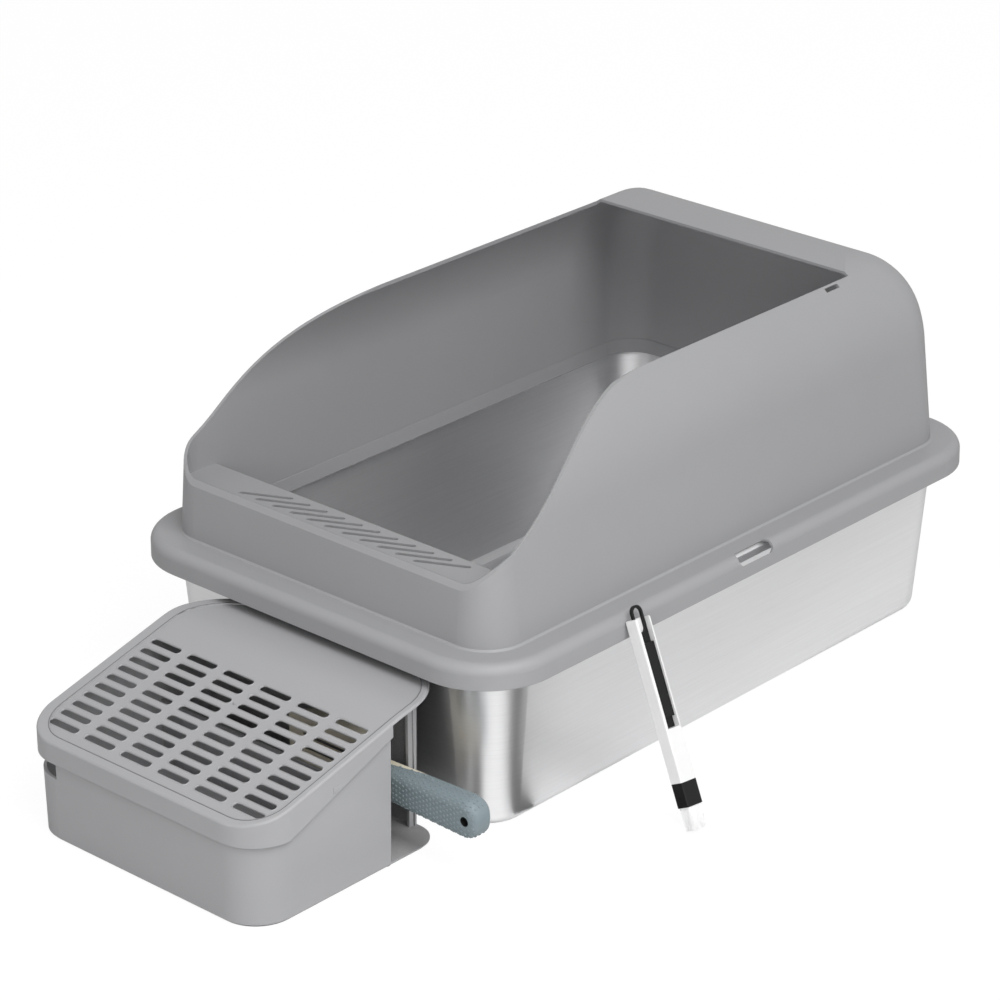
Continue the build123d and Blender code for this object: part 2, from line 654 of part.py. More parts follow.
def make_brush_insert():
    """Thin strip with a ring at its top and a raised bar along its middle, nested in the channel."""
    top = BRISTLE_LENGTH + FERRULE_LENGTH + BODY_LENGTH
    low = top - CHANNEL_LENGTH + INSERT_GAP
    width = CHANNEL_WIDTH - 2 * INSERT_GAP
    strip = stick(INSERT_STRIP, width, low, top + RING_RISE)
    strip = fillet(strip.edges().filter_by(Axis.X).group_by(Axis.Z)[-1], width / 2 - NEAR)
    hole_low = top + RING_RISE - RING_WALL - RING_HOLE_LENGTH
    hole = Plane(origin=(0, 0, hole_low + RING_HOLE_LENGTH / 2), x_dir=(0, 0, 1), z_dir=(1, 0, 0))
    slot = SlotOverall(RING_HOLE_LENGTH, width - 2 * RING_WALL)
    strip -= extrude(hole * slot, amount=INSERT_THICK, both=True)
    bar = stick(INSERT_THICK, width, low + INSERT_RECESS, hole_low - INSERT_RECESS)
    back_x = BRUSH_THICK / 2 - CHANNEL_DEPTH + INSERT_GAP
    return BRUSH * (Pos(back_x + INSERT_STRIP / 2, 0, 0) * strip + Pos(back_x + INSERT_THICK / 2, 0, 0) * bar)


PARTS = {
    "pan": make_pan,
    "enclosure": make_enclosure,
    "step_base": make_step_base,
    "step_cover": make_step_cover,
    "scoop_blade": make_scoop_blade,
    "scoop_grip": make_scoop_grip,
    "brush_body": make_brush_body,
    "brush_ferrule": make_brush_ferrule,
    "brush_bristles": make_brush_bristles,
    "brush_insert": make_brush_insert,
}


def main():
    os.makedirs("parts", exist_ok=True)
    for name, make in PARTS.items():
        part = make()
        export_step(part, f"parts/{name}.step")
        print(name, round(part.volume), len(part.solids()), part.bounding_box())


main()
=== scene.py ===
"""Looks of a steel litter box with its grey enclosure, slotted step, scoop and cleaning brush."""

import logging
import math
import random
from dataclasses import dataclass
from enum import Enum
from typing import Any, Optional

import bpy
from mathutils import Matrix, Vector


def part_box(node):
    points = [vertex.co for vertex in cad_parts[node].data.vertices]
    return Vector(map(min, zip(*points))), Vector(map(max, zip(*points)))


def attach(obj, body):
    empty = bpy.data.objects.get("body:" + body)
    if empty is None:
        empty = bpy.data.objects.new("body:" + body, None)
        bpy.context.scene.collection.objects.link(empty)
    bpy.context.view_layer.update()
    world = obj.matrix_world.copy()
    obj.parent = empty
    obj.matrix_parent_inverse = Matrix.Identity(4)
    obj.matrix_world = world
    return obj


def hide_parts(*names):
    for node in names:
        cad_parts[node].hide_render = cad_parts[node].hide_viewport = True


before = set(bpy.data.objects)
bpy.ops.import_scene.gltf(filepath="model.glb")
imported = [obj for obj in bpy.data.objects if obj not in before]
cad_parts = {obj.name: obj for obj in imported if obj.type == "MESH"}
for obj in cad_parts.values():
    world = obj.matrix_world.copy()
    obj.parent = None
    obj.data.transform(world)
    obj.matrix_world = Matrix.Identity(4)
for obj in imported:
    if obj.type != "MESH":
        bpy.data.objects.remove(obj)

LOG = logging.getLogger("litter_box")
MM = 0.001
RAY_START_M = 1.0
Colour = tuple[float, float, float, float]
Triple = tuple[float, float, float]

# Sockets of the Mix node, which share their names and are told apart by number
MIX_SHARE = 0
MIX_FROM = 2
MIX_TO = 3
MIX_FROM_COLOUR = 6
MIX_TO_COLOUR = 7
MIX_COLOUR_OUT = 2


class Slot(Enum):
    """Names of the record's material slots; nothing here gives a piece one."""

    GREY = "grey_plastic"
    GRIP = "soft_grip"
    NYLON = "nylon"


class Body(Enum):
    """Moving bodies that new pieces ride on."""

    COVER = "step_cover"
    SCOOP = "scoop"
    BRUSH = "brush"


def linear(hex_colour: str) -> Colour:
    """Turn an sRGB hex colour into linear light.

    Args:
        hex_colour: Six hex digits, with or without a leading hash.

    Returns:
        Red, green, blue and an alpha of one.
    """
    digits = hex_colour.lstrip("#")
    shares = [int(digits[i:i + 2], 16) / 255 for i in (0, 2, 4)]
    light = [s / 12.92 if s <= 0.04045 else ((s + 0.055) / 1.055) ** 2.4 for s in shares]
    return (light[0], light[1], light[2], 1.0)


def darker(colour: Colour, share: float) -> Colour:
    """Dim a linear colour to a share of its light and keep its alpha."""
    return (colour[0] * share, colour[1] * share, colour[2] * share, colour[3])


def put_node(tree: bpy.types.NodeTree, kind: str, inputs: Optional[dict[Any, Any]] = None,
             **settings: Any) -> bpy.types.Node:
    """Add a node with its settings and links.

    Args:
        tree: Node tree that gets the node.
        kind: Blender's name for the node type.
        inputs: Input socket name or number, with a value or the output socket that feeds it.
        settings: Attributes of the node itself.

    Returns:
        The new node.
    """
    node = tree.nodes.new(kind)
    for name, value in settings.items():
        setattr(node, name, value)
    for key, value in (inputs or {}).items():
        if isinstance(value, bpy.types.NodeSocket):
            tree.links.new(value, node.inputs[key])
        else:
            node.inputs[key].default_value = value
    return node


def new_material(name: str) -> tuple[bpy.types.Material, bpy.types.NodeTree]:
    """Make an empty node material.

    Args:
        name: Name of the material.

    Returns:
        The material and its cleared node tree.
    """
    material = bpy.data.materials.new(name)
    material.use_nodes = True
    material.node_tree.nodes.clear()
    return material, material.node_tree


def close_material(tree: bpy.types.NodeTree, shader: bpy.types.Node) -> None:
    """Link a shader to the material's output."""
    put_node(tree, "ShaderNodeOutputMaterial", {"Surface": shader.outputs[0]})


def dress(obj: bpy.types.Object, material: bpy.types.Material) -> None:
    """Give an object one material all over."""
    obj.data.materials.clear()
    obj.data.materials.append(material)


@dataclass(frozen=True)
class MouldedPlastic:
    """Injection-moulded plastic or rubber: even colour, spark-eroded grain, edges rounded by the mould.

    The real grain is well under 1 mm wide, too fine to show, so grain_mm draws it coarser than it is.
    A cavity shade below 1 paints shade into the colour deep inside the moulding: it is the share of the
    colour that is kept there.
    """

    name: str
    colour: str
    roughness: float
    grain_mm: float
    grain_depth_mm: float
    edge_mm: float
    tint: float = 0.04
    ior: float = 1.49
    cavity_shade: float = 1.0
    cavity_mm: float = 120.0
    cavity_open: float = 0.25
    cavity_samples: int = 8
    cloud_mm: float = 60.0
    cloud_detail: float = 2.0
    grain_detail: float = 3.0
    grain_noise: float = 0.6
    grain_strength: float = 0.35
    gloss_spread: float = 0.05
    edge_samples: int = 4

    def build(self) -> bpy.types.Material:
        """Make the material.

        Returns:
            The finished material.
        """
        material, tree = new_material(self.name)
        place = put_node(tree, "ShaderNodeTexCoord").outputs["Object"]
        grain = put_node(tree, "ShaderNodeTexNoise",
                         {"Vector": place, "Scale": 1 / (self.grain_mm * MM), "Detail": self.grain_detail,
                          "Roughness": self.grain_noise})
        cloud = put_node(tree, "ShaderNodeTexNoise",
                         {"Vector": place, "Scale": 1 / (self.cloud_mm * MM), "Detail": self.cloud_detail})
        base = linear(self.colour)
        shade = put_node(tree, "ShaderNodeMix",
                         {MIX_SHARE: cloud.outputs["Fac"], MIX_FROM_COLOUR: darker(base, 1 - self.tint),
                          MIX_TO_COLOUR: base}, data_type="RGBA")
        gloss = put_node(tree, "ShaderNodeMapRange",
                         {"Value": grain.outputs["Fac"], "To Min": self.roughness - self.gloss_spread,
                          "To Max": self.roughness + self.gloss_spread})
        colour = shade.outputs[MIX_COLOUR_OUT]
        if self.cavity_shade < 1:
            colour = self.paint_cavity_shade(tree, colour)
        edge = put_node(tree, "ShaderNodeBevel", {"Radius": self.edge_mm * MM}, samples=self.edge_samples)
        bump = put_node(tree, "ShaderNodeBump",
                        {"Height": grain.outputs["Fac"], "Normal": edge.outputs[0],
                         "Strength": self.grain_strength, "Distance": self.grain_depth_mm * MM})
        shader = put_node(tree, "ShaderNodeBsdfPrincipled",
                          {"Base Color": colour, "Roughness": gloss.outputs[0],
                           "Normal": bump.outputs[0], "IOR": self.ior})
        close_material(tree, shader)
        return material

    def paint_cavity_shade(self, tree: bpy.types.NodeTree, colour: bpy.types.NodeSocket) -> bpy.types.NodeSocket:
        """Paint shade into the colour deep inside a moulding, so that slots and pockets read dark.

        Args:
            tree: Node tree that gets the nodes.
            colour: Socket with the plain colour.

        Returns:
            The socket with the colour, darkened by painted shade in closed places.
        """
        # Painted shade: ambient occlusion darkens the colour where the surface is closed in
        reach = put_node(tree, "ShaderNodeAmbientOcclusion", {"Distance": self.cavity_mm * MM},
                         samples=self.cavity_samples)
        share = put_node(tree, "ShaderNodeMapRange",
                         {"Value": reach.outputs["AO"], "From Max": self.cavity_open, "To Min": self.cavity_shade})
        painted_shade = put_node(tree, "ShaderNodeVectorMath", {0: colour, "Scale": share.outputs[0]},
                        operation="SCALE")
        return painted_shade.outputs[0]


@dataclass(frozen=True)
class BrushedSteel:
    """Stainless steel sheet, drawn and belt-brushed: fine level lines that smear reflections up and down.

    Real brush lines are finer than 0.1 mm, too fine to show, so scratch_mm draws them coarser than they are.
    The inside has its own roughness and smear, because it shows duller and more drawn out than the outside.
    """

    name: str
    colour: str
    roughness: float
    smear: float
    inside_roughness: float
    inside_smear: float
    scratch_mm: float = 0.9
    scratch_length_mm: float = 70.0
    scratch_depth_mm: float = 0.01
    scratch_detail: float = 4.0
    scratch_noise: float = 0.65
    scratch_strength: float = 0.2
    scratch_shade: float = 0.94
    scratch_span: tuple[float, float] = (0.3, 0.7)
    level_from: float = 0.7
    level_smear: float = 0.0
    smear_turn: float = 0.25
    cloud_mm: float = 90.0
    cloud_detail: float = 2.0
    gloss_spread: float = 0.02

    def build(self) -> bpy.types.Material:
        """Make the material.

        Returns:
            The finished material.
        """
        material, tree = new_material(self.name)
        place = put_node(tree, "ShaderNodeTexCoord").outputs["Object"]
        facing = put_node(tree, "ShaderNodeNewGeometry").outputs["Normal"]
        is_level = self.level_share(tree, facing)
        outward = put_node(tree, "ShaderNodeVectorMath", {0: place, 1: facing}, operation="DOT_PRODUCT")
        inside = put_node(tree, "ShaderNodeMath", {0: outward.outputs["Value"], 1: 0.0},
                          operation="LESS_THAN")
        scratch = self.scratches(tree, place, is_level)
        lines = put_node(tree, "ShaderNodeMapRange",
                         {"Value": scratch, "From Min": self.scratch_span[0],
                          "From Max": self.scratch_span[1]})
        base = linear(self.colour)
        shade = put_node(tree, "ShaderNodeMix",
                         {MIX_SHARE: lines.outputs[0], MIX_FROM_COLOUR: darker(base, self.scratch_shade),
                          MIX_TO_COLOUR: base}, data_type="RGBA")
        cloud = put_node(tree, "ShaderNodeTexNoise",
                         {"Vector": place, "Scale": 1 / (self.cloud_mm * MM), "Detail": self.cloud_detail})
        outer = put_node(tree, "ShaderNodeMapRange",
                         {"Value": cloud.outputs["Fac"], "To Min": self.roughness - self.gloss_spread,
                          "To Max": self.roughness + self.gloss_spread})
        gloss = put_node(tree, "ShaderNodeMix", {MIX_SHARE: inside.outputs[0], MIX_FROM: outer.outputs[0],
                                                 MIX_TO: self.inside_roughness})
        wall_smear = put_node(tree, "ShaderNodeMix", {MIX_SHARE: inside.outputs[0], MIX_FROM: self.smear,
                                                      MIX_TO: self.inside_smear})
        smear = put_node(tree, "ShaderNodeMix", {MIX_SHARE: is_level, MIX_FROM: wall_smear.outputs[0],
                                                 MIX_TO: self.level_smear})
        bump = put_node(tree, "ShaderNodeBump", {"Height": scratch, "Strength": self.scratch_strength,
                                                 "Distance": self.scratch_depth_mm * MM})
        level = put_node(tree, "ShaderNodeTangent", direction_type="RADIAL", axis="Z")
        shader = put_node(tree, "ShaderNodeBsdfPrincipled",
                          {"Base Color": shade.outputs[MIX_COLOUR_OUT], "Metallic": 1.0,
                           "Roughness": gloss.outputs[0], "Anisotropic": smear.outputs[0],
                           "Anisotropic Rotation": self.smear_turn, "Tangent": level.outputs[0],
                           "Normal": bump.outputs[0]})
        close_material(tree, shader)
        return material

    def level_share(self, tree: bpy.types.NodeTree, facing: bpy.types.NodeSocket) -> bpy.types.NodeSocket:
        """Tell the floor and the flange from the walls.

        Args:
            tree: Node tree that gets the nodes.
            facing: Socket with the surface normal.

        Returns:
            The socket that is one on level faces and zero on walls.
        """
        normal = put_node(tree, "ShaderNodeSeparateXYZ", {0: facing})
        upright = put_node(tree, "ShaderNodeMath", {0: normal.outputs["Z"]}, operation="ABSOLUTE")
        is_level = put_node(tree, "ShaderNodeMath", {0: upright.outputs[0], 1: self.level_from},
                            operation="GREATER_THAN")
        return is_level.outputs[0]

    def scratches(self, tree: bpy.types.NodeTree, place: bpy.types.NodeSocket,
                  is_level: bpy.types.NodeSocket) -> bpy.types.NodeSocket:
        """Draw noise out into fine parallel lines, level on the walls and lengthwise on the floor.

        Args:
            tree: Node tree that gets the nodes.
            place: Socket with the object coordinates.
            is_level: Socket that is one on level faces.

        Returns:
            The socket with the lines' height.
        """
        along = 1 / (self.scratch_length_mm * MM)
        across = 1 / (self.scratch_mm * MM)
        heights = []
        for scale in ((along, along, across), (across, along, along)):
            drawn = put_node(tree, "ShaderNodeMapping", {"Vector": place, "Scale": scale})
            noise = put_node(tree, "ShaderNodeTexNoise",
                             {"Vector": drawn.outputs[0], "Scale": 1.0, "Detail": self.scratch_detail,
                              "Roughness": self.scratch_noise})
            heights.append(noise.outputs["Fac"])
        both = put_node(tree, "ShaderNodeMix",
                        {MIX_SHARE: is_level, MIX_FROM: heights[0], MIX_TO: heights[1]})
        return both.outputs[0]


# Light grey step: a soft sheen, an even tone, and painted shade that darkens the depths behind its slots
GREY_POLYPROPYLENE = MouldedPlastic("moulded_grey_polypropylene", "#a6a6a8", roughness=0.5, grain_mm=1.1,
                                    grain_depth_mm=0.05, edge_mm=0.5, cavity_shade=0.22)
# Painted shadow between the step's border and its field: a thin strip a shade darker than both, standing in
# for the shade where the field steps down
SEAM_SHADOW_POLYPROPYLENE = MouldedPlastic("painted_seam_shadow_polypropylene", "#6c6c6f", roughness=0.5, grain_mm=1.1,
                                    grain_depth_mm=0.05, edge_mm=0.2)
# Mid grey enclosure: a broad soft sheen along the rolled edges
ENCLOSURE_POLYPROPYLENE = MouldedPlastic("moulded_mid_grey_polypropylene", "#9c9c9e", roughness=0.5,
                                         grain_mm=1.1, grain_depth_mm=0.05, edge_mm=0.5)
# Cream scoop: a warm tone, a little glossier than the grey
CREAM_POLYPROPYLENE = MouldedPlastic("moulded_cream_polypropylene", "#ded7c4", roughness=0.42, grain_mm=1.4,
                                     grain_depth_mm=0.03, edge_mm=0.5)
# Grip of the scoop: a dull blue-grey that only its studs break up
SOFT_GRIP_RUBBER = MouldedPlastic("moulded_blue_grey_soft_rubber", "#7f8c91", roughness=0.55, grain_mm=0.9,
                                  grain_depth_mm=0.04, edge_mm=0.4)
# Dark cup in the hang hole: nearly black and dull, painted shade standing in for the deep shadow in the grip
HOLE_SHADOW_RUBBER = MouldedPlastic("painted_hole_shadow_rubber", "#060707", roughness=0.6, grain_mm=0.9,
                                  grain_depth_mm=0.02, edge_mm=0.2, ior=1.4)
# Body of the brush: clean white with a satin gloss
WHITE_ABS = MouldedPlastic("moulded_white_abs", "#ececec", roughness=0.4, grain_mm=1.2,
                           grain_depth_mm=0.02, edge_mm=0.4, tint=0.02, ior=1.53)
# Collar and insert of the brush: black with a weak, wide shine
BLACK_ABS = MouldedPlastic("moulded_black_abs", "#0a0a0b", roughness=0.5, grain_mm=1.0,
                           grain_depth_mm=0.03, edge_mm=0.4, ior=1.4)
# Bristles: bright white strands with a fine gloss along each
WHITE_NYLON = MouldedPlastic("drawn_white_nylon_bristle", "#ffffff", roughness=0.38, grain_mm=0.8,
                             grain_depth_mm=0.01, edge_mm=0.05, ior=1.53)
# Pan: pale metal with upright bright and dark bands at its corners
BRUSHED_STAINLESS = BrushedSteel("brushed_stainless_steel", "#f0f0f1", roughness=0.38, smear=0.3,
                                 inside_roughness=0.45, inside_smear=0.9)


def deselect_all() -> None:
    """Leave edit mode and clear the selection, so that an operator acts on its own piece only."""
    if bpy.context.mode != "OBJECT":
        bpy.ops.object.mode_set(mode="OBJECT")
    bpy.ops.object.select_all(action="DESELECT")


def face_outwards() -> None:
    """Turn all faces of the piece in edit mode outwards and leave edit mode."""
    bpy.ops.mesh.select_all(action="SELECT")
    bpy.ops.mesh.normals_make_consistent(inside=False)
    bpy.ops.object.mode_set(mode="OBJECT")


def join_copies(pattern: bpy.types.Object, places: list[Matrix], name: str) -> bpy.types.Object:
    """Copy one modelled shape to many places and join the copies to one piece at the origin.

    Args:
        pattern: The modelled shape, which is used up.
        places: One matrix for each copy.
        name: Name of the joined piece.

    Returns:
        The joined piece, with its place in its mesh.
    """
    deselect_all()
    copies = []
    for place in places:
        copy = pattern.copy()
        copy.data = pattern.data.copy()
        copy.data.transform(place)
        copy.matrix_world = Matrix.Identity(4)
        bpy.context.scene.collection.objects.link(copy)
        copy.select_set(True)
        copies.append(copy)
    bpy.context.view_layer.objects.active = copies[0]
    bpy.ops.object.join()
    joined = bpy.context.view_layer.objects.active
    joined.name = name
    joined.data.name = name
    bpy.data.objects.remove(pattern)
    deselect_all()
    return joined


@dataclass
class Housing:
    """Pan, enclosure and step: CAD shapes that only need their finish."""

    step_nodes: tuple[str, ...] = ("step_base", "step_cover")

    def dress(self) -> None:
        """Finish the steel pan and the grey mouldings."""
        dress(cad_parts["pan"], BRUSHED_STAINLESS.build())
        dress(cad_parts["enclosure"], ENCLOSURE_POLYPROPYLENE.build())
        grey = GREY_POLYPROPYLENE.build()
        for name in self.step_nodes:
            dress(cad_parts[name], grey)
        LOG.info("dressed the pan, the enclosure and %s", " and ".join(self.step_nodes))


@dataclass
class StepTrim:
    """Fine lines of the step's cover: a dark strip of painted shadow round its field, a rim round each slot,
    two small marks.
    """

    middle_x_mm: float = 22.5
    field_half_mm: float = 116.7
    field_front_mm: float = -479.2
    field_rear_mm: float = -282.3
    front_corner_mm: float = 27.9
    rear_corner_mm: float = 52.0
    corner_segments: int = 8
    seam_mm: float = 1.1
    seam_out_mm: float = 0.5
    seam_sink_mm: float = 0.35
    seam_cuts: int = 24
    seam_roundness: int = 1
    slot_columns: int = 6
    slot_rows: int = 10
    slot_pitch_mm: tuple[float, float] = (38.6, 11.45)
    slot_middle_mm: float = -415.8
    slot_length_mm: float = 30.3
    slot_width_mm: float = 6.2
    rim_width_mm: float = 1.1
    rim_height_mm: float = 0.5
    rim_sides: int = 20
    # Steps out over the rim: share of its width, and rise in rim heights
    rim_steps: tuple[tuple[float, float], ...] = ((0.2, 2.0), (0.6, 0.0), (1.0, -2.0))
    gate_mm: tuple[float, float] = (22.5, -387.2)
    gate_radius_mm: float = 1.5
    gate_sides: int = 16
    gate_rise_mm: float = 0.3
    gate_rim_mm: float = 0.6
    gate_dip_mm: float = 0.45
    latch_mm: Triple = (144.6, -406.0, 88.5)
    latch_size_mm: Triple = (0.9, 7.0, 5.0)
    latch_edge_mm: float = 0.25
    latch_edge_segments: int = 2

    def build(self) -> None:
        """Model each kind of line once, set it on the cover and dress it."""
        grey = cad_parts["step_cover"].data.materials[0]
        seam_shadow = self.seam_shadow()
        rims = join_copies(self.slot_rim(), self.slot_places(), "slot_rims")
        marks = [rims, self.gate_mark(), self.latch_mark()]
        # The seam strip is painted shadow: a dark line where the field steps down from its border
        dress(seam_shadow, SEAM_SHADOW_POLYPROPYLENE.build())
        for mark in marks:
            dress(mark, grey)
        for piece in (seam_shadow, *marks):
            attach(piece, Body.COVER.value)
            LOG.info("set %s on the step's cover", piece.name)

    def height(self, x_mm: float, y_mm: float) -> float:
        """Height of the cover's upper face at a place in plan.

        Args:
            x_mm: Place across.
            y_mm: Place along.

        Returns:
            The height in metres.
        """
        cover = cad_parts["step_cover"]
        above = Vector((x_mm * MM, y_mm * MM, RAY_START_M))
        _, spot, _, _ = cover.ray_cast(above, Vector((0, 0, -1)))
        return spot.z

    def seam_shadow(self) -> bpy.types.Object:
        """Model the thin dark strip of painted shadow that follows the border's inner edge, sunk so that it
        barely stands out.

        Returns:
            The strip of painted shadow.
        """
        deselect_all()
        depth = self.field_rear_mm - self.field_front_mm + 2 * self.seam_out_mm
        width = 2 * (self.field_half_mm + self.seam_out_mm)
        bpy.ops.mesh.primitive_plane_add(size=1.0)
        seam_shadow = bpy.context.active_object
        seam_shadow.name = "border_seam_shadow"
        bpy.ops.object.mode_set(mode="EDIT")
        bpy.ops.mesh.select_all(action="SELECT")
        bpy.ops.transform.resize(value=(width * MM, depth * MM, 1), center_override=(0, 0, 0))
        middle = (self.middle_x_mm * MM, (self.field_front_mm + self.field_rear_mm) / 2 * MM, 0)
        bpy.ops.transform.translate(value=middle)
        self.round_corners(seam_shadow, self.field_front_mm, self.front_corner_mm)
        self.round_corners(seam_shadow, self.field_rear_mm, self.rear_corner_mm)
        bpy.ops.mesh.select_all(action="SELECT")
        bpy.ops.mesh.delete(type="ONLY_FACE")
        bpy.ops.mesh.select_all(action="SELECT")
        bpy.ops.mesh.subdivide(number_cuts=self.seam_cuts)
        bpy.ops.object.mode_set(mode="OBJECT")
        for vertex in seam_shadow.data.vertices:
            vertex.co.z = self.height(vertex.co.x / MM, vertex.co.y / MM) - self.seam_sink_mm * MM
        bpy.ops.object.convert(target="CURVE")
        seam_shadow.data.bevel_depth = self.seam_mm / 2 * MM
        seam_shadow.data.bevel_resolution = self.seam_roundness
        bpy.ops.object.convert(target="MESH")
        bpy.ops.object.shade_smooth()
        return bpy.context.active_object

    def round_corners(self, outline: bpy.types.Object, edge_mm: float, radius_mm: float) -> None:
        """Round the two corners of the seam's outline near one edge.

        Args:
            outline: The outline, in edit mode.
            edge_mm: Place of that edge along Y.
            radius_mm: Radius of its corners.
        """
        bpy.ops.mesh.select_mode(type="VERT")
        bpy.ops.mesh.select_all(action="DESELECT")
        bpy.ops.object.mode_set(mode="OBJECT")
        for vertex in outline.data.vertices:
            vertex.select = abs(vertex.co.y - edge_mm * MM) < 2 * self.seam_mm * MM
        bpy.ops.object.mode_set(mode="EDIT")
        bpy.ops.mesh.bevel(affect="VERTICES", offset=radius_mm * MM, segments=self.corner_segments)

    def slot_rim(self) -> bpy.types.Object:
        """Model the low rim of one slot about the origin, in the XY plane.

        Returns:
            The rim.
        """
        deselect_all()
        inner = self.slot_width_mm / 2 * MM
        lift = self.rim_height_mm * MM
        bpy.ops.mesh.primitive_circle_add(vertices=self.rim_sides, radius=inner, location=(0, 0, 0))
        rim = bpy.context.active_object
        bpy.ops.object.mode_set(mode="EDIT")
        bpy.ops.mesh.select_all(action="SELECT")
        bpy.ops.transform.rotate(value=math.pi / self.rim_sides, orient_axis="Z", center_override=(0, 0, 0))
        bpy.ops.transform.translate(value=(0, 0, -lift))
        for share, rise in self.rim_steps:
            bpy.ops.mesh.extrude_edges_move()
            radius = max(math.hypot(v.co.x, v.co.y) for v in self.selected(rim))
            growth = (inner + share * self.rim_width_mm * MM) / radius
            bpy.ops.transform.resize(value=(growth, growth, 1), center_override=(0, 0, 0))
            bpy.ops.transform.translate(value=(0, 0, rise * lift))
        bpy.ops.object.mode_set(mode="OBJECT")
        reach = (self.slot_length_mm - self.slot_width_mm) / 2 * MM
        for vertex in rim.data.vertices:
            vertex.co.x += math.copysign(reach, vertex.co.x)
        bpy.ops.object.mode_set(mode="EDIT")
        face_outwards()
        bpy.ops.object.shade_smooth()
        return rim

    @staticmethod
    def selected(piece: bpy.types.Object) -> list[bpy.types.MeshVertex]:
        """Selected corners of a piece in edit mode."""
        piece.update_from_editmode()
        return [vertex for vertex in piece.data.vertices if vertex.select]

    def slot_places(self) -> list[Matrix]:
        """Find where the slot rims lie on the sloping field.

        Returns:
            One matrix for each slot.
        """
        places = []
        step_x, step_y = self.slot_pitch_mm
        for row in range(self.slot_rows):
            y = self.slot_middle_mm + (row - (self.slot_rows - 1) / 2) * step_y
            near = self.height(self.middle_x_mm, y - step_y / 2)
            far = self.height(self.middle_x_mm, y + step_y / 2)
            tilt = Matrix.Rotation(math.atan2(far - near, step_y * MM), 4, "X")
            for column in range(self.slot_columns):
                x = self.middle_x_mm + (column - (self.slot_columns - 1) / 2) * step_x
                places.append(Matrix.Translation((x * MM, y * MM, (near + far) / 2)) @ tilt)
        return places

    def gate_mark(self) -> bpy.types.Object:
        """Model the small round mark of the moulding gate between the slots.

        Returns:
            The mark.
        """
        deselect_all()
        x, y = self.gate_mm
        bpy.ops.mesh.primitive_circle_add(vertices=self.gate_sides, radius=self.gate_radius_mm * MM,
                                          fill_type="NGON")
        mark = bpy.context.active_object
        mark.name = "gate_mark"
        bpy.ops.object.mode_set(mode="EDIT")
        bpy.ops.mesh.select_all(action="SELECT")
        bpy.ops.mesh.extrude_region_move(TRANSFORM_OT_translate={"value": (0, 0, self.gate_rise_mm * MM)})
        bpy.ops.mesh.inset(thickness=self.gate_rim_mm * MM)
        bpy.ops.transform.translate(value=(0, 0, -self.gate_dip_mm * MM))
        face_outwards()
        mark.data.transform(Matrix.Translation((x * MM, y * MM, self.height(x, y))))
        return mark

    def latch_mark(self) -> bpy.types.Object:
        """Model the low latch pad on the cover's right skirt.

        Returns:
            The pad.
        """
        deselect_all()
        bpy.ops.mesh.primitive_cube_add(size=1.0)
        pad = bpy.context.active_object
        pad.name = "latch_pad"
        bpy.ops.object.mode_set(mode="EDIT")
        bpy.ops.mesh.select_all(action="SELECT")
        size = tuple(side * MM for side in self.latch_size_mm)
        bpy.ops.transform.resize(value=size, center_override=(0, 0, 0))
        bpy.ops.mesh.bevel(offset=self.latch_edge_mm * MM, segments=self.latch_edge_segments, affect="EDGES")
        bpy.ops.mesh.select_all(action="SELECT")
        bpy.ops.transform.translate(value=tuple(place * MM for place in self.latch_mm))
        bpy.ops.object.mode_set(mode="OBJECT")
        return pad


